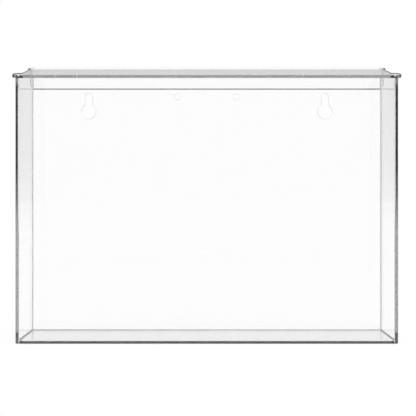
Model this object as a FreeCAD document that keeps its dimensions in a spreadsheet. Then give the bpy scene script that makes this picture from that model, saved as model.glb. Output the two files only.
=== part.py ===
import FreeCAD
import Part
import os
import Sketcher

# Clear acrylic wall box: five glued sheets and a loose lid bent from one sheet.
# Millimetres, +Z up, the front faces -Y, the origin is under the middle of the whole outline.

# Driving sizes, name and value
SIZES = (
    ("width", 300.0),
    ("depth", 40.0),
    ("ply", 2.5),
    ("film", 0.1),
    ("back_height", 221.0),
    ("slope", 20.0),
    ("lid_width", 304.4),
    ("lid_front_height", 207.3),
    ("lid_overhang", 4.5),
    ("lid_seat", 0.2),
    ("lid_corner", 5.0),
    ("tongue_width", 293.0),
    ("ear_back", 4.4),
    ("notch_back", 39.3),
    ("notch_corner", 1.0),
    ("bend_inside", 2.5),
    ("flange_gap", 0.4),
    ("flange_bottom", 206.8),
    ("flange_corner", 5.0),
    ("base_corner", 1.0),
    ("edge_break", 0.3),
    ("hole_height", 200.0),
    ("keyhole_pitch", 200.0),
    ("keyhole_drop", 12.5),
    ("keyhole_head", 12.5),
    ("keyhole_slot", 6.0),
    ("screw_pitch", 50.0),
    ("screw_hole", 5.0),
    ("seam", 0.8),
    ("seam_gap", 0.05),
    ("seam_below_top", 1.0),
)

TAN = "tan(Sizes.slope * 1 deg)"
SIN = "sin(Sizes.slope * 1 deg)"
COS = "cos(Sizes.slope * 1 deg)"
# Distance from the origin back to the outer face of the front panel
FRONT = f"(Sizes.lid_overhang + Sizes.ply * {SIN} - Sizes.depth - Sizes.flange_gap - Sizes.ply) / 2"
INNER_FRONT = f"{FRONT} + Sizes.ply + Sizes.film"
INNER_DEPTH = "Sizes.depth - 2 * Sizes.ply - 2 * Sizes.film"
INNER_WIDTH = "Sizes.width - 2 * Sizes.ply - 2 * Sizes.film"
# Height of the lid's underside over the front face and over the front ends of the side panels
FRONT_HEIGHT = f"Sizes.lid_front_height + Sizes.lid_overhang * {TAN} - Sizes.lid_seat"
SIDE_HEIGHT = f"{FRONT_HEIGHT} + (Sizes.ply + Sizes.film) * {TAN}"

ORIGIN = -1
START = 1
END = 2
CENTRE = 3
X_AXIS = FreeCAD.Vector(1, 0, 0)
Y_AXIS = FreeCAD.Vector(0, 1, 0)
Z_AXIS = FreeCAD.Vector(0, 0, 1)
CLOSE = 0.01
# The lid's sloped, bent and flange faces are broader than this, and its cut edges are narrower
LEAST_BROAD_AREA = 1000.0

doc = FreeCAD.newDocument("wall_box")


def make_sheet():
    sheet = doc.addObject("Spreadsheet::Sheet", "Sizes")
    for row, (name, value) in enumerate(SIZES, 1):
        sheet.set(f"A{row}", name)
        sheet.set(f"B{row}", str(value))
        sheet.setAlias(f"B{row}", name)
    doc.recompute()


def new_body(label):
    body = doc.addObject("PartDesign::Body", label)
    body.Label = label
    return body


def new_sketch(body, plane, name):
    sketch = body.newObject("Sketcher::SketchObject", name)
    support = [f for f in body.Origin.OriginFeatures if f.Role == plane][0]
    sketch.AttachmentSupport = [(support, "")]
    sketch.MapMode = "FlatFace"
    return sketch


def bind(sketch, kind, places, name, formula):
    index = sketch.addConstraint(Sketcher.Constraint(kind, *places, 1.0))
    sketch.renameConstraint(index, name)
    sketch.setExpression(f"Constraints.{name}", formula)


def bind_across(sketch, line, name, formula):
    """Sets how far the line runs along the sketch's first axis, from its start to its end."""
    bind(sketch, "DistanceX", (line, START, line, END), name, formula)


def bind_up(sketch, line, name, formula):
    """Sets how far the line runs along the sketch's second axis, from its start to its end."""
    bind(sketch, "DistanceY", (line, START, line, END), name, formula)


def polygon(sketch, points):
    """Closed outline near the given points, which the bound sizes then move into place."""
    vectors = [FreeCAD.Vector(u, v, 0) for u, v in points]
    first = sketch.GeometryCount
    count = len(vectors)
    for i in range(count):
        sketch.addGeometry(Part.LineSegment(vectors[i], vectors[(i + 1) % count]), False)
    for i in range(count):
        after = first + (i + 1) % count
        sketch.addConstraint(Sketcher.Constraint("Coincident", first + i, END, after, START))
    return [first + i for i in range(count)]


def level(sketch, *lines):
    for line in lines:
        sketch.addConstraint(Sketcher.Constraint("Horizontal", line))


def upright(sketch, *lines):
    for line in lines:
        sketch.addConstraint(Sketcher.Constraint("Vertical", line))


def rectangle(sketch, wide, high):
    """A rectangle standing on the sketch's horizontal axis, centred across it."""
    foot, right, head, left = polygon(sketch, ((-9, 0), (9, 0), (9, 9), (-9, 9)))
    level(sketch, foot, head)
    upright(sketch, right, left)
    sketch.addConstraint(Sketcher.Constraint("Symmetric", foot, START, foot, END, ORIGIN, START))
    bind_across(sketch, foot, "wide", wide)
    bind_up(sketch, right, "high", high)


def pad(body, sketch, length, reverse=False, both_ways=False):
    feature = body.newObject("PartDesign::Pad", f"{body.Name}_pad_{sketch.Name}")
    feature.Profile = sketch
    feature.Reversed = reverse
    feature.Midplane = both_ways
    feature.setExpression("Length", length)
    sketch.Visibility = False
    doc.recompute()
    return feature


def cut_through(body, sketch):
    before = body.Shape.Volume
    feature = body.newObject("PartDesign::Pocket", f"{body.Name}_cut_{sketch.Name}")
    feature.Profile = sketch
    feature.Type = "ThroughAll"
    feature.Midplane = True
    doc.recompute()
    if not body.Shape.Volume < before:
        raise RuntimeError(f"{sketch.Name} removes nothing")
    return feature


def edge_names(shape, wanted):
    return [f"Edge{i}" for i, edge in enumerate(shape.Edges, 1) if wanted(edge)]


def middle(edge):
    return edge.valueAt((edge.FirstParameter + edge.LastParameter) / 2)


def runs_along(edge, axis):
    if edge.Curve.TypeId != "Part::GeomLine":
        return False
    return abs(edge.Curve.Direction.dot(axis)) > 1 - CLOSE


def soften(body, kind, name, wanted, size):
    """Rounds or breaks the chosen edges of the body."""
    base = body.Tip
    names = edge_names(base.Shape, wanted)
    if not names:
        raise RuntimeError(f"{name} finds no edges")
    feature = body.newObject(f"PartDesign::{kind}", name)
    feature.Base = (base, names)
    feature.setExpression("Radius" if kind == "Fillet" else "Size", size)
    doc.recompute()
    return feature


def place(body, x=None, y=None, z=None):
    for axis, formula in zip("xyz", (x, y, z)):
        if formula:
            body.setExpression(f"Placement.Base.{axis}", formula)


def round_feet(body):
    """Rounds the two lower corners of an upright sheet, seen from the front."""
    soften(
        body,
        "Fillet",
        f"{body.Name}_feet",
        lambda e: runs_along(e, Y_AXIS) and middle(e).z < CLOSE,
        "Sizes.base_corner",
    )


def break_face(body, at_y):
    """Takes the sharpness off the rim of the outer face."""
    soften(
        body,
        "Chamfer",
        f"{body.Name}_rim",
        lambda e: abs(e.BoundBox.YMin - at_y) < CLOSE
        and abs(e.BoundBox.YMax - at_y) < CLOSE,
        "Sizes.edge_break",
    )


# Front panel
def front_panel():
    body = new_body("front_panel")
    sketch = new_sketch(body, "XZ_Plane", "front_outline")
    rectangle(sketch, "Sizes.width", FRONT_HEIGHT)
    pad(body, sketch, "Sizes.ply", reverse=True)
    round_feet(body)
    break_face(body, 0.0)
    place(body, y=FRONT)
    return body


# Back panel with its keyholes and screw holes
def pair_of_circles(sketch, pitch, height, diameter):
    for side, sign in (("left", -1), ("right", 1)):
        circle = sketch.addGeometry(
            Part.Circle(FreeCAD.Vector(sign * 50, 100, 0), FreeCAD.Vector(0, 0, 1), 3), False
        )
        bind(sketch, "Diameter", (circle,), f"{side}_across", diameter)
        bind(sketch, "DistanceX", (ORIGIN, START, circle, CENTRE), f"{side}_out", f"{sign} * {pitch} / 2")
        bind(sketch, "DistanceY", (ORIGIN, START, circle, CENTRE), f"{side}_up", height)


def pair_of_slots(sketch, pitch, low, high, wide):
    for side, sign in (("left", -1), ("right", 1)):
        x = sign * 100
        foot, right, head, left = polygon(sketch, ((x - 3, 185), (x + 3, 185), (x + 3, 199), (x - 3, 199)))
        level(sketch, foot, head)
        upright(sketch, right, left)
        bind_across(sketch, foot, f"{side}_wide", wide)
        bind_up(sketch, right, f"{side}_high", f"{high} - ({low})")
        bind(sketch, "DistanceY", (ORIGIN, START, foot, START), f"{side}_low", low)
        bind(
            sketch,
            "DistanceX",
            (ORIGIN, START, foot, START),
            f"{side}_out",
            f"{sign} * {pitch} / 2 - {wide} / 2",
        )


def back_panel():
    body = new_body("back_panel")
    outline = new_sketch(body, "XZ_Plane", "back_outline")
    rectangle(outline, "Sizes.width", "Sizes.back_height")
    pad(body, outline, "Sizes.ply", reverse=True)
    round_feet(body)
    break_face(body, doc.Sizes.ply)
    head_height = "Sizes.hole_height - Sizes.keyhole_drop"
    heads = new_sketch(body, "XZ_Plane", "keyhole_heads")
    pair_of_circles(heads, "Sizes.keyhole_pitch", head_height, "Sizes.keyhole_head")
    cut_through(body, heads)
    slots = new_sketch(body, "XZ_Plane", "keyhole_slots")
    pair_of_slots(slots, "Sizes.keyhole_pitch", head_height, "Sizes.hole_height", "Sizes.keyhole_slot")
    cut_through(body, slots)
    ends = new_sketch(body, "XZ_Plane", "keyhole_ends")
    pair_of_circles(ends, "Sizes.keyhole_pitch", "Sizes.hole_height", "Sizes.keyhole_slot")
    cut_through(body, ends)
    screws = new_sketch(body, "XZ_Plane", "screw_holes")
    pair_of_circles(screws, "Sizes.screw_pitch", "Sizes.hole_height", "Sizes.screw_hole")
    cut_through(body, screws)
    place(body, y=f"{FRONT} + Sizes.depth - Sizes.ply")
    return body


# Side panels, with tops cut to the slope of the lid
def side_panel(label, x):
    body = new_body(label)
    sketch = new_sketch(body, "YZ_Plane", f"{label}_outline")
    foot, back, top, front = polygon(sketch, ((0, 0), (30, 0), (30, 220), (0, 210)))
    level(sketch, foot)
    upright(sketch, back, front)
    sketch.addConstraint(Sketcher.Constraint("Coincident", foot, START, ORIGIN, START))
    bind_across(sketch, foot, "long", INNER_DEPTH)
    bind_up(sketch, front, "front_edge", f"-({SIDE_HEIGHT})")
    bind_up(sketch, back, "back_edge", f"{SIDE_HEIGHT} + ({INNER_DEPTH}) * {TAN}")
    pad(body, sketch, "Sizes.ply")
    outer = 0.0 if label.startswith("left") else body.Shape.BoundBox.XMax
    soften(
        body,
        "Fillet",
        f"{label}_foot",
        lambda e: runs_along(e, Y_AXIS)
        and middle(e).z < CLOSE
        and abs(middle(e).x - outer) < CLOSE,
        "Sizes.base_corner",
    )
    place(body, x=x, y=INNER_FRONT)
    return body


# Floor
def floor_panel():
    body = new_body("floor_panel")
    sketch = new_sketch(body, "XZ_Plane", "floor_outline")
    rectangle(sketch, INNER_WIDTH, "Sizes.ply")
    pad(body, sketch, INNER_DEPTH, reverse=True)
    place(body, y=INNER_FRONT)
    return body


# Lid: the sloped top with a notch at each end, the bend and the flange behind the back panel
def lid():
    body = new_body("lid")
    sketch = new_sketch(body, "YZ_Plane", "lid_profile")
    points = ((-6, 207), (41, 224), (41, 208), (43, 208), (43, 227), (-7, 209))
    under, inside, foot, outside, top, nose = polygon(sketch, points)
    upright(sketch, inside, outside)
    level(sketch, foot)
    sketch.addConstraint(Sketcher.Constraint("Parallel", under, top))
    bind_across(sketch, nose, "nose_back", f"Sizes.ply * {SIN}")
    bind_up(sketch, nose, "nose_down", f"-Sizes.ply * {COS}")
    bind_across(sketch, foot, "foot", "Sizes.ply")
    bind(sketch, "Angle", (under,), "pitch", "Sizes.slope")
    bind(sketch, "DistanceX", (under, START, ORIGIN, START), "overhang", "Sizes.lid_overhang")
    bind(sketch, "DistanceY", (ORIGIN, START, under, START), "front_height", "Sizes.lid_front_height")
    bind(sketch, "DistanceX", (ORIGIN, START, inside, START), "flange", "Sizes.depth + Sizes.flange_gap")
    bind(sketch, "DistanceY", (ORIGIN, START, foot, START), "flange_bottom", "Sizes.flange_bottom")
    pad(body, sketch, "Sizes.lid_width", both_ways=True)
    bend_lid(body)
    notch_lid(body)
    round_lid(body)
    soften_lid_rim(body)
    place(body, y=FRONT)
    return body


def bend_lid(body):
    box = body.Shape.BoundBox
    inside_y = box.YMax - doc.Sizes.ply
    soften(
        body,
        "Fillet",
        "lid_bend_inside",
        lambda e: runs_along(e, X_AXIS)
        and abs(middle(e).y - inside_y) < CLOSE
        and middle(e).z > doc.Sizes.back_height,
        "Sizes.bend_inside",
    )
    soften(
        body,
        "Fillet",
        "lid_bend_outside",
        lambda e: runs_along(e, X_AXIS)
        and abs(middle(e).y - box.YMax) < CLOSE
        and middle(e).z > doc.Sizes.back_height,
        "Sizes.bend_inside + Sizes.ply",
    )


def notch_lid(body):
    """Cuts the sheet away over both side panels, which leaves an ear at each front corner."""
    sketch = new_sketch(body, "XY_Plane", "lid_notches")
    for name, side in (("left", -1), ("right", 1)):
        points = ((side * 146, 4), (side * 158, 4), (side * 158, 38), (side * 146, 38))
        front, end, back, inner = polygon(sketch, points)
        level(sketch, front, back)
        upright(sketch, end, inner)
        corner = (ORIGIN, START, front, START)
        bind(sketch, "DistanceX", corner, f"{name}_tongue", f"{side} * Sizes.tongue_width / 2")
        bind(sketch, "DistanceY", corner, f"{name}_ear", "Sizes.ear_back")
        bind_across(sketch, front, f"{name}_reach", f"{side} * (Sizes.lid_width - Sizes.tongue_width)")
        bind_up(sketch, end, f"{name}_notch", "Sizes.notch_back - Sizes.ear_back")
    cut_through(body, sketch)


def round_lid(body):
    box = body.Shape.BoundBox
    ply = doc.Sizes.ply
    soften(
        body,
        "Fillet",
        "lid_front_corners",
        lambda e: e.BoundBox.XLength < CLOSE
        and e.BoundBox.YMax < box.YMin + ply
        and e.Length < ply + CLOSE,
        "Sizes.lid_corner",
    )
    soften(
        body,
        "Fillet",
        "lid_notch_corners",
        lambda e: runs_along(e, Z_AXIS) and e.Length < 2 * ply,
        "Sizes.notch_corner",
    )
    soften(
        body,
        "Fillet",
        "lid_flange_corners",
        lambda e: runs_along(e, Y_AXIS)
        and middle(e).y > box.YMax - ply
        and e.Length < ply + CLOSE,
        "Sizes.flange_corner",
    )


def soften_lid_rim(body):
    """Takes the sharpness off both rims of the cut edge, all the way round the sheet."""
    broad = [face for face in body.Tip.Shape.Faces if face.Area > LEAST_BROAD_AREA]
    soften(
        body,
        "Fillet",
        "lid_rim",
        lambda e: sum(any(e.isSame(other) for other in face.Edges) for face in broad) == 1,
        "Sizes.edge_break",
    )


# Cement seams, three-sided beads in the corners at the back and along the floor
def bead(sketch, name, corner, inward, places):
    """A right-angled bead with its corner at the given place, legs pointing inward."""
    (u, v), (a, b) = corner, inward
    leg, rise, slant = polygon(sketch, ((u + a, v), (u, v), (u, v + b)))
    level(sketch, leg)
    upright(sketch, rise)
    bind_across(sketch, leg, f"{name}_leg", f"{-a} * Sizes.seam")
    bind_up(sketch, rise, f"{name}_rise", f"{b} * Sizes.seam")
    bind(sketch, "DistanceX", (ORIGIN, START, rise, START), f"{name}_u", places[0])
    bind(sketch, "DistanceY", (ORIGIN, START, rise, START), f"{name}_v", places[1])


INNER_X = "(Sizes.width / 2 - Sizes.ply - Sizes.seam_gap)"
SEAM_BACK = f"({FRONT} + Sizes.depth - Sizes.ply - Sizes.seam_gap)"
SEAM_FLOOR = "(Sizes.ply + Sizes.seam_gap)"
# The beads along the floor stop this short of the corners, where the upright beads stand
SEAM_ROOM = "(Sizes.seam + Sizes.seam_gap)"


def corner_seams():
    body = new_body("corner_seams")
    sketch = new_sketch(body, "XY_Plane", "corner_beads")
    for name, side in (("left", -1), ("right", 1)):
        bead(sketch, name, (side * 147, 17), (-side, -1), (f"{side} * {INNER_X}", SEAM_BACK))
    pad(body, sketch, f"{FRONT_HEIGHT} - Sizes.seam_below_top - {SEAM_FLOOR}")
    place(body, z=SEAM_FLOOR)
    return body


def floor_seams():
    body = new_body("floor_seams")
    across = new_sketch(body, "YZ_Plane", "beads_across")
    bead(across, "back", (17, 2.6), (-1, 1), (SEAM_BACK, SEAM_FLOOR))
    pad(body, across, f"2 * ({INNER_X} - {SEAM_ROOM})", both_ways=True)
    along = new_sketch(body, "XZ_Plane", "beads_along")
    for name, side in (("left", -1), ("right", 1)):
        bead(along, name, (side * 147, 2.6), (-side, 1), (f"{side} * {INNER_X}", SEAM_FLOOR))
    start = f"{INNER_FRONT} + Sizes.seam_gap"
    along.setExpression("AttachmentOffset.Base.z", f"-({start})")
    pad(body, along, f"{SEAM_BACK} - {SEAM_ROOM} - ({start})", reverse=True)
    return body


def build():
    make_sheet()
    half = "Sizes.width / 2"
    bodies = [
        front_panel(),
        back_panel(),
        side_panel("left_side_panel", f"-{half}"),
        side_panel("right_side_panel", f"{half} - Sizes.ply"),
        floor_panel(),
        lid(),
        corner_seams(),
        floor_seams(),
    ]
    doc.recompute()
    return bodies


def check(bodies):
    for item in doc.Objects:
        if {"Invalid", "Error"} & set(item.State):
            raise RuntimeError(f"{item.Name} is {item.State}")
    for body in bodies:
        if body.Shape.isNull() or not body.Shape.isValid():
            raise RuntimeError(f"{body.Label} has no valid shape")


def write(bodies):
    os.makedirs("parts", exist_ok=True)
    for body in bodies:
        body.Shape.exportStep(f"parts/{body.Label}.step")
        box = body.Shape.BoundBox
        print(
            body.Label,
            len(body.Shape.Solids),
            [round(v, 2) for v in (box.XMin, box.XMax, box.YMin, box.YMax, box.ZMin, box.ZMax)],
            round(body.Shape.Volume, 1),
        )


made = build()
check(made)
write(made)
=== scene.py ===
import math

import bpy
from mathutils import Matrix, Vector

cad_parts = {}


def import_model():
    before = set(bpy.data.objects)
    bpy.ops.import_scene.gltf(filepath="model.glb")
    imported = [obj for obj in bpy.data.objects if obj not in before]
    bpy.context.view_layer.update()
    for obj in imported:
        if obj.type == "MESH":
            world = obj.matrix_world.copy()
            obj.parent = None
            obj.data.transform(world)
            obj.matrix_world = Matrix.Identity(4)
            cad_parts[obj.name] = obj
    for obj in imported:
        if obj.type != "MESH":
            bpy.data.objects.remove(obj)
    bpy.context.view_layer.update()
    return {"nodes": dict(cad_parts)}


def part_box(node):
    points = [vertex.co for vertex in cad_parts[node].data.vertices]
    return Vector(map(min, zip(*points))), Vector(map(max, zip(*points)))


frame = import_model()
nodes = frame["nodes"]

# Metres, in the same frame as the CAD. The front of the box faces -Y.
MM = 0.001
SHEET = 2.5 * MM
SLOPE = math.radians(20)
DOWN_SLOPE = Vector((0, -math.cos(SLOPE), -math.sin(SLOPE)))
X, Y, Z = range(3)
LID_LOW, LID_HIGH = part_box("lid")
BACK_LOW, BACK_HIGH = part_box("back_panel")
BOX_HEIGHT = BACK_HIGH.z
# The nose is the lid's front edge, and the flange is its upright part behind the back panel
NOSE_BACK = LID_LOW.y + SHEET
NOSE_FOOT = min(point.co.z for point in nodes["lid"].data.vertices if point.co.y < NOSE_BACK)
FLANGE_FRONT = LID_HIGH.y - 1.2 * SHEET
# Zone along a sheet's outline in which its faces belong to the outer edges
BORDER = 4 * SHEET

# Camera, from the perspective of the photograph
PHOTO_SIDE = 416
FOCAL_PIXELS = 589.6
HORIZON_PIXEL = 198.9
CENTRE_PIXEL = 206.8
CAMERA_DISTANCE = 462 * MM
CAMERA_HEIGHT = 113.6 * MM
SENSOR = 36.0
# Passes of a ray through the clear sheets, and reflections
BOUNCES = 24
GLOSS_BOUNCES = 16

# Acrylic, and the share of a lamp's light that passes a polished face or set cement
ACRYLIC_IOR = 1.49
FACE_LAMPS = 0.93
CEMENT_LAMPS = 0.6

# Rub marks on the faces: scale, band of the noise that shows, roughness and the share of light kept
RUB_SCALE = 90.0
RUBS = (0.55, 0.8)
RUB_ROUGH = 0.03
RUB_LIGHT = 0.99
# Saw marks on the edges: scale, band of the noise, and what they do to the roughness and the grey
SAW_SCALE = 900.0
SAW = (0.3, 0.7)
SAW_ROUGH = (0.6, 1.4)
SAW_GREY = (0.95, 1.05)

# Keyhole heads, keyhole slots and screw holes: distance from the middle, lower and upper centre, radius
HOLES = (
    (100 * MM, 187.5 * MM, 187.5 * MM, 6.25 * MM),
    (100 * MM, 187.5 * MM, 200 * MM, 3 * MM),
    (25 * MM, 200 * MM, 200 * MM, 2.5 * MM),
)
# Line along their rims: where it fades and the share of light it keeps
RIM_FADE = (0.3 * MM, 1.1 * MM)
RIM_LIGHT = 0.96

# Lines in the back panel's corners, from the top of the cement beads up to the lid
CORNER_LINE = 147.3 * MM
CORNER_LINE_FADE = (0.4 * MM, 0.6 * MM)
CORNER_LINE_FOOT = 207.7 * MM
CORNER_LINE_TOP = 216.5 * MM
CORNER_LINE_LIGHT = 0.5

# Painted shade on the lid: dark lines along the flange's free edge and along the tongue between the two
# notches
FLANGE_CORNER = 5 * MM
FLANGE_LINE = (0.65 * MM, 0.45 * MM)
TONGUE_LINE = 146.2 * MM
TONGUE_LINE_FADE = (0.3 * MM, 0.4 * MM)
NOTCH_FRONT = -14.4 * MM
LID_LINE_LIGHT = 0.05

# Clear inner side of the side panels' front ends, where their painted shade stops, narrower below the
# middle and on the right
STRIP_FADE = (148.4 * MM, 148.7 * MM)
STRIP_TURN = (85 * MM, 115 * MM)
STRIP_LOWER = 0.55 * MM
STRIP_RIGHT = 0.2 * MM

# Painted glint on each of the lid's ears, its heights counted from the nose's foot
SPOT = 146 * MM
SPOT_FADE = (0.5 * MM, 1.0 * MM)
SPOT_RISE = (1.1 * MM, 1.5 * MM)
# Nose before the side panels, in painted shade: dark from the inner side, paler further out and above,
# dark at its tip
NOSE_INNER = (142.1 * MM, 143.1 * MM)
NOSE_INNER_GREY = 0.04
NOSE_OUTER = (147.4 * MM, 148.2 * MM)
NOSE_OUTER_GREY = 0.7
NOSE_TOP_RISE = (1.4 * MM, 1.8 * MM)
NOSE_TOP_GREY = 0.5
NOSE_TIP = (149.4 * MM, 150.0 * MM)
NOSE_TIP_GREY = 0.03

# Floor's front edge, which carries painted shade: its clear top, and the darker spots at its ends
FLOOR_TOP = (1.65 * MM, 2.05 * MM)
FLOOR_SPOT = 146.4 * MM
FLOOR_SPOT_FADE = (0.8 * MM, 1.2 * MM)
FLOOR_SPOT_TOP = (1.95 * MM, 2.25 * MM)

# Cement: scale of the bubbles, and where the beads beside the floor lie
BUBBLE_SCALE = 700.0
SIDE_BEAD_OUT = 146.6 * MM
SIDE_BEAD_TOP = 3.4 * MM

# Tints and greys. Stops are places, as shares of the height of the back panel, and levels.
CLEAR_TINT = 0.985
BACK_TINT = 0.996
# Painted shade: the floor panel greyer all over than the other sheets
FLOOR_SHADE_TINT = 0.82
# Painted shade: the side panels darker from about half their height up
SIDE_SHADE_TINT = ((0.0, 0.985), (0.4, 0.98), (0.6, 0.852), (0.71, 0.815), (0.95, 0.793))
CUT_GREY = ((0.0, 0.40), (1.0, 0.48))
# Painted shade on the side panels' front ends and the front panel's ends: near black high up, grey lower
# down
JOINT_SHADE_GREY = (
    (0.0, 0.04),
    (0.028, 0.03),
    (0.032, 0.0005),
    (0.037, 0.0005),
    (0.041, 0.27),
    (0.4, 0.27),
    (0.52, 0.05),
    (0.62, 0.0008),
    (0.915, 0.0008),
    (0.93, 0.15),
)

# How far a face's normal leans along an axis, from not at all to square
PARTLY = 0.2
LEANING = 0.3
MOSTLY = 0.6
STEEPLY = 0.7
SQUARELY = 0.9
NEARLY_WHOLLY = 0.97

# Stage: the floor, whose middle takes the box's shadow and fades to white further out
FLOOR_HALF = 20.0
FLOOR_DROP = 0.3 * MM
FLOOR_GREY = (0.92, 0.92, 0.92, 1)
FLOOR_FADE = (0.3, 0.8)
FLOOR_GLOW = 0.9
# The world: white where it is seen, and a soft light from all round
WHITE = (1, 1, 1, 1)
SOFT_LIGHT = 0.8
# The room that the gloss mirrors: levels from straight down to straight up, and a card behind the camera
ROOM_STOPS = ((0.0, 0.95), (0.75, 0.95), (0.8, 0.35), (0.92, 0.3), (0.97, 0.9))
FRONT_CARD_SPREAD = 0.302
FRONT_CARD_FADE = 0.012
ROOM_SIDES = 0.15
BACKDROP_FADE = 0.1
# Cards that the lid and its ears mirror: name, level, and the millimetres that they cover in x and z
CARDS_BEHIND = 400 * MM
CARDS = (
    ("grey_card", 0.34, (-281, 281), (414.5, 474.5)),
    ("left_black_card", 0.01, (-292, -281), (405, 422.1)),
    ("right_black_card", 0.01, (281, 292), (405, 422.1)),
    ("left_black_end", 0.01, (-310, -292), (405, 423.4)),
    ("right_black_end", 0.01, (292, 310), (405, 423.4)),
)
# Soft lamp above, before the box
LAMP_PLACE = (0.3, -0.4, 1.6)
LAMP_AIM = (0, 0, 0.1)
LAMP_SIZE = 1.2
LAMP_WATTS = 12


# Node helpers
def add_node(tree, kind, **values):
    """A new node with the given input values, whose names use _ for a space."""
    node = tree.nodes.new(kind)
    for name, value in values.items():
        node.inputs[name.replace("_", " ")].default_value = value
    return node


def add_math(tree, operation, first, *others):
    """Math nodes in a row, which take sockets or numbers together by one operation."""
    for second in others or (0.0,):
        node = tree.nodes.new("ShaderNodeMath")
        node.operation = operation
        for socket, value in zip(node.inputs, (first, second)):
            if isinstance(value, (int, float)):
                socket.default_value = value
            else:
                tree.links.new(value, socket)
        first = node.outputs[0]
    return first


def add_ramp(tree, factor, stops):
    """A colour ramp over grey stops, each a place and a level."""
    node = tree.nodes.new("ShaderNodeValToRGB")
    ramp = node.color_ramp
    while len(ramp.elements) < len(stops):
        ramp.elements.new(1.0)
    for element, (place, level) in zip(ramp.elements, stops):
        element.position = place
        element.color = (level, level, level, 1)
    tree.links.new(factor, node.inputs["Fac"])
    return node.outputs["Color"]


def add_range(tree, value, low, high, to_low=0.0, to_high=1.0):
    """A Map Range node from low to high."""
    node = add_node(
        tree,
        "ShaderNodeMapRange",
        From_Min=low,
        From_Max=high,
        To_Min=to_low,
        To_Max=to_high,
    )
    tree.links.new(value, node.inputs["Value"])
    return node.outputs["Result"]


def mix_shaders(tree, factor, first, second):
    """A Mix Shader node from the first shader to the second."""
    node = tree.nodes.new("ShaderNodeMixShader")
    for socket, value in zip(node.inputs, (factor, first, second)):
        tree.links.new(value, socket)
    return node.outputs[0]


def split(tree, vector):
    """The X, Y and Z of a vector."""
    node = tree.nodes.new("ShaderNodeSeparateXYZ")
    tree.links.new(vector, node.inputs[0])
    return node.outputs


def new_tree(name):
    """A material with an empty node tree and its output node."""
    material = bpy.data.materials.new(name)
    material.use_nodes = True
    tree = material.node_tree
    tree.nodes.clear()
    output = tree.nodes.new("ShaderNodeOutputMaterial")
    return material, tree, output


def object_place(tree):
    """The place on the object, in metres."""
    return tree.nodes.new("ShaderNodeTexCoord").outputs["Object"]


def from_middle(tree, place):
    """How far to either side of the box's middle plane."""
    return add_math(tree, "ABSOLUTE", place["X"])


def gap_to(tree, value, target):
    """Distance between a value and the target, on either side of it."""
    return add_math(tree, "ABSOLUTE", add_math(tree, "SUBTRACT", value, target))


def diagonal(tree, first, second):
    """The length of the diagonal over two legs at right angles."""
    squares = [add_math(tree, "MULTIPLY", leg, leg) for leg in (first, second)]
    return add_math(tree, "SQRT", add_math(tree, "ADD", *squares))


def up_the_nose(tree, place, rise, level=1.0):
    """From 0 at the first height above the nose's foot to the level at the second."""
    low, high = (NOSE_FOOT + height for height in rise)
    return add_range(tree, place["Z"], low, high, 0.0, level)


def level_up_the_box(tree, place, level):
    """A grey level: the number itself, or stops spread over the height of the back panel."""
    if isinstance(level, float):
        return level
    return add_ramp(tree, add_range(tree, place["Z"], 0.0, BOX_HEIGHT), level)


def seen_rays(tree):
    """1 for rays from the camera and for those that glass or gloss has bent, else 0."""
    path = tree.nodes.new("ShaderNodeLightPath").outputs
    bent = add_math(tree, "MAXIMUM", path["Is Glossy Ray"], path["Is Transmission Ray"])
    return add_math(tree, "MAXIMUM", path["Is Camera Ray"], bent)


def let_lamps_through(tree, surface, share, output):
    """Lamps shine through the sheet, so that its shadow is as pale as clear acrylic's."""
    path = tree.nodes.new("ShaderNodeLightPath")
    clear = add_node(tree, "ShaderNodeBsdfTransparent", Color=(share, share, share, 1))
    mixed = mix_shaders(tree, path.outputs["Is Shadow Ray"], surface, clear.outputs[0])
    tree.links.new(mixed, output.inputs["Surface"])


# Marks, each worked out from the place coordinates
def hole_rim(tree, place):
    """A faint line along the rims of the keyholes and screw holes."""
    out = from_middle(tree, place)
    gaps = []
    for x, low, high, radius in HOLES:
        beside = add_math(tree, "SUBTRACT", out, x)
        centre = add_math(tree, "MINIMUM", add_math(tree, "MAXIMUM", place["Z"], low), high)
        above = add_math(tree, "SUBTRACT", place["Z"], centre)
        gaps.append(add_math(tree, "SUBTRACT", diagonal(tree, beside, above), radius))
    return add_range(tree, add_math(tree, "MINIMUM", *gaps), *RIM_FADE, RIM_LIGHT, 1.0)


def back_marks(tree, place):
    """The rims of the holes, and a line in the corners above the beads."""
    gap = gap_to(tree, from_middle(tree, place), CORNER_LINE)
    line = add_range(tree, gap, *CORNER_LINE_FADE, CORNER_LINE_LIGHT, 1.0)
    below = add_math(tree, "LESS_THAN", place["Z"], CORNER_LINE_FOOT)
    above = add_math(tree, "GREATER_THAN", place["Z"], CORNER_LINE_TOP)
    line = add_math(tree, "MAXIMUM", line, below, above)
    return add_math(tree, "MULTIPLY", hole_rim(tree, place), line)


def flange_line(tree, place):
    """0 on the line along the flange's free edge and round its lower corners, else 1."""
    out = from_middle(tree, place)
    past_side = add_math(tree, "SUBTRACT", out, LID_HIGH.x - FLANGE_CORNER)
    past_foot = add_math(tree, "SUBTRACT", LID_LOW.z + FLANGE_CORNER, place["Z"])
    beside, below = (add_math(tree, "MAXIMUM", past, 0.0) for past in (past_side, past_foot))
    low, high = (FLANGE_CORNER - width for width in FLANGE_LINE)
    line = add_range(tree, diagonal(tree, beside, below), low, high, 1.0, 0.0)
    before = add_math(tree, "LESS_THAN", place["Y"], BACK_HIGH.y)
    return add_math(tree, "MAXIMUM", line, before)


def tongue_line(tree, place):
    """0 on the line along the notches' long sides, else 1."""
    gap = gap_to(tree, from_middle(tree, place), TONGUE_LINE)
    line = add_range(tree, gap, *TONGUE_LINE_FADE)
    before = add_math(tree, "LESS_THAN", place["Y"], NOTCH_FRONT)
    past = add_math(tree, "GREATER_THAN", place["Y"], BACK_LOW.y)
    return add_math(tree, "MAXIMUM", line, before, past)


def lid_shade_lines(tree, place):
    """Painted shade: a dark line along the flange's free edge and along the notches' long sides."""
    line = add_math(tree, "MINIMUM", flange_line(tree, place), tongue_line(tree, place))
    return add_range(tree, line, 0.0, 1.0, LID_LINE_LIGHT, 1.0)


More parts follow.
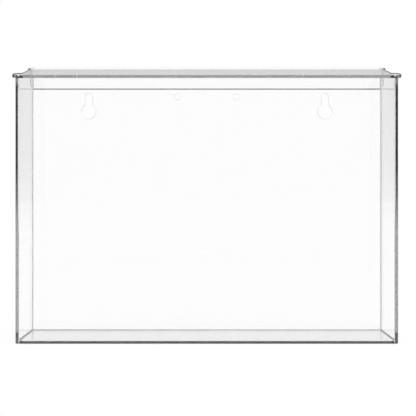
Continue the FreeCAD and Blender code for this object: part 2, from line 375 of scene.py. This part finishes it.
def side_strip(tree, place):
    """The side panels' front ends stay clear of their painted shade on the inner side, less so low down
    and on the right.
    """
    lower = add_range(tree, place["Z"], *STRIP_TURN, STRIP_LOWER, 0.0)
    right = add_range(tree, place["X"], -MM, MM, 0.0, STRIP_RIGHT)
    reach = add_math(tree, "ADD", lower, right, from_middle(tree, place))
    return add_range(tree, reach, *STRIP_FADE, 1.0, 0.0)


def ear_glint(tree, place):
    """Painted glint of light from the notch behind each ear, in one spot on the upper half of the nose."""
    gap = gap_to(tree, from_middle(tree, place), SPOT)
    beside = add_range(tree, gap, *SPOT_FADE, 1.0, 0.0)
    return add_math(tree, "MULTIPLY", beside, up_the_nose(tree, place, SPOT_RISE))


def nose_shade(tree, place):
    """Painted shade: the nose is darker before the side panels and at its two tips, except in the painted
    glint.
    """
    out = from_middle(tree, place)
    inner = add_range(tree, out, *NOSE_INNER, 1.0, NOSE_INNER_GREY)
    outer = add_range(tree, out, *NOSE_OUTER, 0.0, NOSE_OUTER_GREY)
    top = up_the_nose(tree, place, NOSE_TOP_RISE, NOSE_TOP_GREY)
    tip = add_range(tree, out, *NOSE_TIP, 1.0, NOSE_TIP_GREY)
    level = add_math(tree, "MULTIPLY", add_math(tree, "MAXIMUM", inner, outer, top), tip)
    return add_math(tree, "MAXIMUM", level, ear_glint(tree, place))


def floor_strip(tree, place):
    """The floor's front edge stays clear along its top."""
    return add_range(tree, place["Z"], *FLOOR_TOP)


def floor_ends(tree, place):
    """The two ends of the floor's front edge are darker, almost to the top."""
    gap = gap_to(tree, from_middle(tree, place), FLOOR_SPOT)
    beside = add_range(tree, gap, *FLOOR_SPOT_FADE)
    return add_math(tree, "MAXIMUM", beside, add_range(tree, place["Z"], *FLOOR_SPOT_TOP))


# Materials
def clear_sheet(name, tint, marks=None):
    """Polished faces: clear, with faint rub marks and a tint, which is a level or stops up the height.

    marks takes the place coordinates and gives how much of the tint is kept.
    """
    material, tree, output = new_tree(name)
    place = object_place(tree)
    apart = split(tree, place)
    light = level_up_the_box(tree, apart, tint)
    if marks:
        light = add_math(tree, "MULTIPLY", light, marks(tree, apart))
    rubs = add_node(tree, "ShaderNodeTexNoise", Scale=RUB_SCALE, Detail=5.0, Roughness=0.6)
    tree.links.new(place, rubs.inputs["Vector"])
    dull = add_range(tree, rubs.outputs["Fac"], *RUBS, 1.0, RUB_LIGHT)
    rough = add_range(tree, rubs.outputs["Fac"], *RUBS, 0.0, RUB_ROUGH)
    shader = add_node(tree, "ShaderNodeBsdfPrincipled", IOR=ACRYLIC_IOR, Transmission_Weight=1.0)
    tree.links.new(add_math(tree, "MULTIPLY", light, dull), shader.inputs["Base Color"])
    tree.links.new(rough, shader.inputs["Roughness"])
    let_lamps_through(tree, shader.outputs[0], FACE_LAMPS, output)
    return material


def edge_sheet(
    name,
    level,
    see,
    rough,
    lamps,
    clear_part=None,
    dark_part=None,
    bright_part=None,
    gloss=0.5,
    ior=ACRYLIC_IOR,
):
    """A cut edge: greyer than the faces, with saw marks, its grey a level or stops up the height.

    see is how clear the edge is, rough how frosted, and lamps the share of a lamp's light that passes it.
    Each part takes the place coordinates. clear_part gives where the edge stays clear of its painted
    shade, dark_part how much of the grey level is kept, and bright_part where the edge turns opaque white
    for a painted glint.
    """
    material, tree, output = new_tree(name)
    place = object_place(tree)
    apart = split(tree, place)
    grey = level_up_the_box(tree, apart, level)
    if clear_part:
        grey = add_math(tree, "MAXIMUM", grey, clear_part(tree, apart))
    if dark_part:
        grey = add_math(tree, "MULTIPLY", grey, dark_part(tree, apart))
    saw = add_node(tree, "ShaderNodeTexNoise", Scale=SAW_SCALE, Detail=3.0)
    tree.links.new(place, saw.inputs["Vector"])
    streaks = add_range(tree, saw.outputs["Fac"], *SAW, *SAW_GREY)
    frost = add_range(tree, saw.outputs["Fac"], *SAW, *(rough * share for share in SAW_ROUGH))
    shader = add_node(
        tree,
        "ShaderNodeBsdfPrincipled",
        IOR=ior,
        Transmission_Weight=see,
        Specular_IOR_Level=gloss,
    )
    tree.links.new(add_math(tree, "MULTIPLY", grey, streaks), shader.inputs["Base Color"])
    tree.links.new(frost, shader.inputs["Roughness"])
    if bright_part:
        clear = add_range(tree, bright_part(tree, apart), 0.0, 1.0, see, 0.0)
        tree.links.new(clear, shader.inputs["Transmission Weight"])
    let_lamps_through(tree, shader.outputs[0], lamps, output)
    return material


def cement(name, pale, deep, side_share):
    """Set solvent cement: clear grey, from deep to pale, with tiny bubbles.

    side_share is the part of that grey which the beads beside the floor keep.
    """
    material, tree, output = new_tree(name)
    place = object_place(tree)
    apart = split(tree, place)
    bubbles = add_node(tree, "ShaderNodeTexVoronoi", Scale=BUBBLE_SCALE)
    tree.links.new(place, bubbles.inputs["Vector"])
    grey = add_ramp(tree, bubbles.outputs["Distance"], ((0.0, pale), (0.5, deep)))
    beside = add_math(tree, "GREATER_THAN", from_middle(tree, apart), SIDE_BEAD_OUT)
    low = add_math(tree, "LESS_THAN", apart["Z"], SIDE_BEAD_TOP)
    side_bead = add_math(tree, "MULTIPLY", beside, low)
    share = add_range(tree, side_bead, 0.0, 1.0, 1.0, side_share)
    shader = add_node(
        tree,
        "ShaderNodeBsdfPrincipled",
        IOR=ACRYLIC_IOR,
        Transmission_Weight=0.5,
        Roughness=0.3,
    )
    tree.links.new(add_math(tree, "MULTIPLY", grey, share), shader.inputs["Base Color"])
    let_lamps_through(tree, shader.outputs[0], CEMENT_LAMPS, output)
    return material


sheet = clear_sheet("clear_sheet", CLEAR_TINT)
back_sheet = clear_sheet("back_sheet", BACK_TINT, back_marks)
# Painted shade lines on the lid along the flange and the notches
lid_sheet = clear_sheet("lid_sheet", CLEAR_TINT, lid_shade_lines)
# Painted shade: the side panels darker higher up
side_sheet = clear_sheet("side_sheet", SIDE_SHADE_TINT)
# Painted shade on the floor panel
floor_sheet = clear_sheet("floor_sheet", FLOOR_SHADE_TINT)
cut_edge = edge_sheet("cut_edge", CUT_GREY, see=0.75, rough=0.2, lamps=0.7)
# Painted shade: the front ends look near black high up and grey lower down
shaded_joint_edge = edge_sheet(
    "shaded_joint_edge",
    JOINT_SHADE_GREY,
    see=0.6,
    rough=0.2,
    lamps=0.5,
    clear_part=side_strip,
    gloss=0.0,
)
# Painted shade: the front panel's foot and the floor's front edge look near black
shaded_foot_edge = edge_sheet(
    "shaded_foot_edge",
    0.009,
    see=0.6,
    rough=0.2,
    lamps=0.5,
    clear_part=floor_strip,
    dark_part=floor_ends,
)
# Painted shade: the lid's ears and the notches' sides near black
shaded_rim_edge = edge_sheet("shaded_rim_edge", 0.02, see=0.25, rough=0.1, lamps=0.6)
# Painted shade at the nose's ends, and a painted glint before each ear
nose_edge = edge_sheet(
    "nose_edge",
    0.92,
    see=0.72,
    rough=0.2,
    lamps=0.7,
    dark_part=nose_shade,
    bright_part=ear_glint,
)
# Painted shade: the flange's bottom opaque and near black
shaded_flange_edge = edge_sheet("shaded_flange_edge", 0.02, see=0.0, rough=0.6, lamps=0.6, gloss=0.0)
hole_edge = edge_sheet("hole_edge", 0.9, see=0.25, rough=0.4, lamps=0.9, ior=1.1)
glued_edge = edge_sheet("glued_edge", 0.98, see=1.0, rough=0.03, lamps=0.9)
corner_cement = cement("corner_cement", pale=0.92, deep=0.8, side_share=1.0)
floor_cement = cement("floor_cement", pale=0.7, deep=0.55, side_share=0.4)


# Which faces of a sheet are cut edges, and of which kind
def lid_edge(face):
    """True for the lid's ends, its nose, its notches and the bottom of its flange."""
    if abs(face.normal.x) > LEANING:
        return True
    if face.center.y < NOSE_BACK:
        return face.normal.dot(DOWN_SLOPE) > MOSTLY
    if face.center.y > FLANGE_FRONT:
        return face.normal.z < -PARTLY and face.center.z < LID_LOW.z + BORDER
    return abs(face.center.x) > LID_HIGH.x - BORDER and abs(face.normal.y) > STEEPLY


def lid_edge_kind(face):
    """The nose is grey, the ears, notches and flange are painted dark as shade, and the notches' rear ends
    are paler.
    """
    if face.normal.dot(DOWN_SLOPE) > MOSTLY and face.center.y < NOSE_BACK:
        return nose_edge
    if face.center.y > FLANGE_FRONT and face.normal.z < -PARTLY:
        return shaded_flange_edge
    return cut_edge if face.center.y > BACK_LOW.y else shaded_rim_edge


def front_edge(face):
    """True for the top, and for the ends and the foot together with their broken edges."""
    return abs(face.normal.y) < (MOSTLY if face.normal.z > PARTLY else NEARLY_WHOLLY)


def front_edge_kind(face):
    """The ends and the foot carry painted shade, the top is only cut."""
    if face.normal.z < -PARTLY:
        return shaded_foot_edge
    return shaded_joint_edge if abs(face.normal.x) > PARTLY else cut_edge


def back_edge_kind(face):
    """The walls of the keyholes and screw holes, inside the back panel's outline, are pale and frosted."""
    in_width = BACK_LOW.x + BORDER < face.center.x < BACK_HIGH.x - BORDER
    in_height = BACK_LOW.z + BORDER < face.center.z < BACK_HIGH.z - BORDER
    return hole_edge if in_width and in_height else cut_edge


def side_edge_kind(face):
    """The front ends carry painted shade, the back ends stay clear."""
    if face.normal.y < -SQUARELY:
        return shaded_joint_edge
    return glued_edge if face.normal.y > SQUARELY else cut_edge


def floor_edge_kind(face):
    """The front edge carries painted shade, the others stay clear."""
    return shaded_foot_edge if face.normal.y < -SQUARELY else glued_edge


def across(axis):
    """A test for faces that don't look along the given axis."""
    return lambda face: abs(face.normal[axis]) < MOSTLY


def paint(name, edge_test, edge_choice, faces=sheet):
    """Gives the sheet's broad faces the clear material and its cut edges the one chosen for each face."""
    node = nodes[name]
    node.data.materials.clear()
    slots = []
    for face in node.data.polygons:
        chosen = edge_choice(face) if edge_test(face) else faces
        if chosen not in slots:
            slots.append(chosen)
            node.data.materials.append(chosen)
        face.material_index = slots.index(chosen)


def paint_nodes():
    paint("front_panel", front_edge, front_edge_kind)
    paint("back_panel", across(Y), back_edge_kind, back_sheet)
    for side in ("left_side_panel", "right_side_panel"):
        paint(side, across(X), side_edge_kind, side_sheet)
    paint("floor_panel", across(Z), floor_edge_kind, floor_sheet)
    paint("lid", lid_edge, lid_edge_kind, lid_sheet)
    for name, cement_used in (("corner_seams", corner_cement), ("floor_seams", floor_cement)):
        nodes[name].data.materials.clear()
        nodes[name].data.materials.append(cement_used)


# Stage, light and camera
def four_sided(name, material, corners):
    """A flat object with four corners."""
    mesh = bpy.data.meshes.new(name)
    mesh.from_pydata(corners, [], [(0, 1, 2, 3)])
    mesh.materials.append(material)
    made = bpy.data.objects.new(name, mesh)
    bpy.context.scene.collection.objects.link(made)
    return made


def floor():
    """A pale floor, seen as white away from the box, which keeps the box's shadow."""
    material, tree, output = new_tree("floor_paint")
    plain = add_node(tree, "ShaderNodeBsdfDiffuse", Color=FLOOR_GREY)
    glow = add_node(tree, "ShaderNodeEmission", Strength=1.0)
    away = tree.nodes.new("ShaderNodeVectorMath")
    away.operation = "LENGTH"
    tree.links.new(object_place(tree), away.inputs[0])
    bright = add_range(tree, away.outputs["Value"], *FLOOR_FADE, FLOOR_GLOW, 1.0)
    share = add_math(tree, "MULTIPLY", seen_rays(tree), bright)
    mixed = mix_shaders(tree, share, plain.outputs[0], glow.outputs[0])
    tree.links.new(mixed, output.inputs["Surface"])
    half = FLOOR_HALF
    corners = [(-half, -half, 0), (half, -half, 0), (half, half, 0), (-half, half, 0)]
    plane = four_sided("floor", material, corners)
    plane.location.z = -FLOOR_DROP


def card(name, level, x, z):
    """A card above the backdrop, which only the gloss mirrors, spread over the given x and z."""
    material, tree, output = new_tree(f"{name}_paint")
    glow = add_node(tree, "ShaderNodeEmission", Color=(level, level, level, 1), Strength=1.0)
    tree.links.new(glow.outputs[0], output.inputs["Surface"])
    left, right = (value * MM for value in x)
    foot, top = (value * MM for value in z)
    depth = LID_LOW.y + CARDS_BEHIND
    corners = [(left, depth, foot), (right, depth, foot), (right, depth, top), (left, depth, top)]
    made = four_sided(name, material, corners)
    made.visible_camera = False
    made.visible_diffuse = False
    made.visible_transmission = False
    made.visible_shadow = False


def room_level(tree):
    """What the gloss mirrors: a white backdrop, a card behind the camera, dim sides and a bright top."""
    apart = split(tree, tree.nodes.new("ShaderNodeTexCoord").outputs["Generated"])
    rise = add_ramp(tree, add_range(tree, apart["Z"], -1.0, 1.0), ROOM_STOPS)
    ahead = add_math(tree, "MULTIPLY", apart["Y"], -1.0)
    spread = add_math(tree, "MULTIPLY", ahead, FRONT_CARD_SPREAD)
    past_card = add_math(tree, "SUBTRACT", from_middle(tree, apart), spread)
    front = add_range(tree, past_card, -FRONT_CARD_FADE, FRONT_CARD_FADE, 1.0, ROOM_SIDES)
    behind = add_range(tree, apart["Y"], 0.0, BACKDROP_FADE)
    return add_math(tree, "MULTIPLY", rise, add_math(tree, "MAXIMUM", front, behind))


def world():
    """White where it is seen, the room where the gloss mirrors it, and a soft light on all else."""
    made = bpy.data.worlds.new("studio")
    bpy.context.scene.world = made
    made.use_nodes = True
    tree = made.node_tree
    tree.nodes.clear()
    output = tree.nodes.new("ShaderNodeOutputWorld")
    white = add_node(tree, "ShaderNodeBackground", Color=WHITE, Strength=1.0)
    room = add_node(tree, "ShaderNodeBackground", Strength=1.0)
    soft = add_node(tree, "ShaderNodeBackground", Color=WHITE, Strength=SOFT_LIGHT)
    tree.links.new(room_level(tree), room.inputs["Color"])
    path = tree.nodes.new("ShaderNodeLightPath").outputs
    mirrored = add_math(tree, "GREATER_THAN", path["Is Glossy Ray"], path["Is Transmission Ray"])
    seen = mix_shaders(tree, mirrored, white.outputs[0], room.outputs[0])
    whole = mix_shaders(tree, seen_rays(tree), soft.outputs[0], seen)
    tree.links.new(whole, output.inputs["Surface"])


def softbox(name):
    """The lamp, turned towards its aim."""
    light = bpy.data.lights.new(name, "AREA")
    light.size = LAMP_SIZE
    light.energy = LAMP_WATTS
    lamp = bpy.data.objects.new(name, light)
    lamp.location = LAMP_PLACE
    line = Vector(LAMP_AIM) - Vector(LAMP_PLACE)
    lamp.rotation_euler = line.to_track_quat("-Z", "Y").to_euler()
    bpy.context.scene.collection.objects.link(lamp)


def camera():
    """A level camera before the middle of the box, shifted to the photograph's framing."""
    data = bpy.data.cameras.new("photo_camera")
    data.sensor_width = SENSOR
    data.lens = SENSOR * FOCAL_PIXELS / PHOTO_SIDE
    data.shift_x = (PHOTO_SIDE / 2 - CENTRE_PIXEL) / PHOTO_SIDE
    data.shift_y = (HORIZON_PIXEL - PHOTO_SIDE / 2) / PHOTO_SIDE
    made = bpy.data.objects.new("photo_camera", data)
    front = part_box("front_panel")[0].y
    made.location = (0, front - CAMERA_DISTANCE, CAMERA_HEIGHT)
    made.rotation_euler = (math.pi / 2, 0, 0)
    bpy.context.scene.collection.objects.link(made)
    bpy.context.scene.camera = made


def render_settings():
    scene = bpy.context.scene
    scene.view_settings.view_transform = "Standard"
    scene.cycles.max_bounces = BOUNCES
    scene.cycles.glossy_bounces = GLOSS_BOUNCES
    scene.cycles.transmission_bounces = BOUNCES


paint_nodes()
floor()
for stage_card in CARDS:
    card(*stage_card)
world()
softbox("top_softbox")
camera()
render_settings()
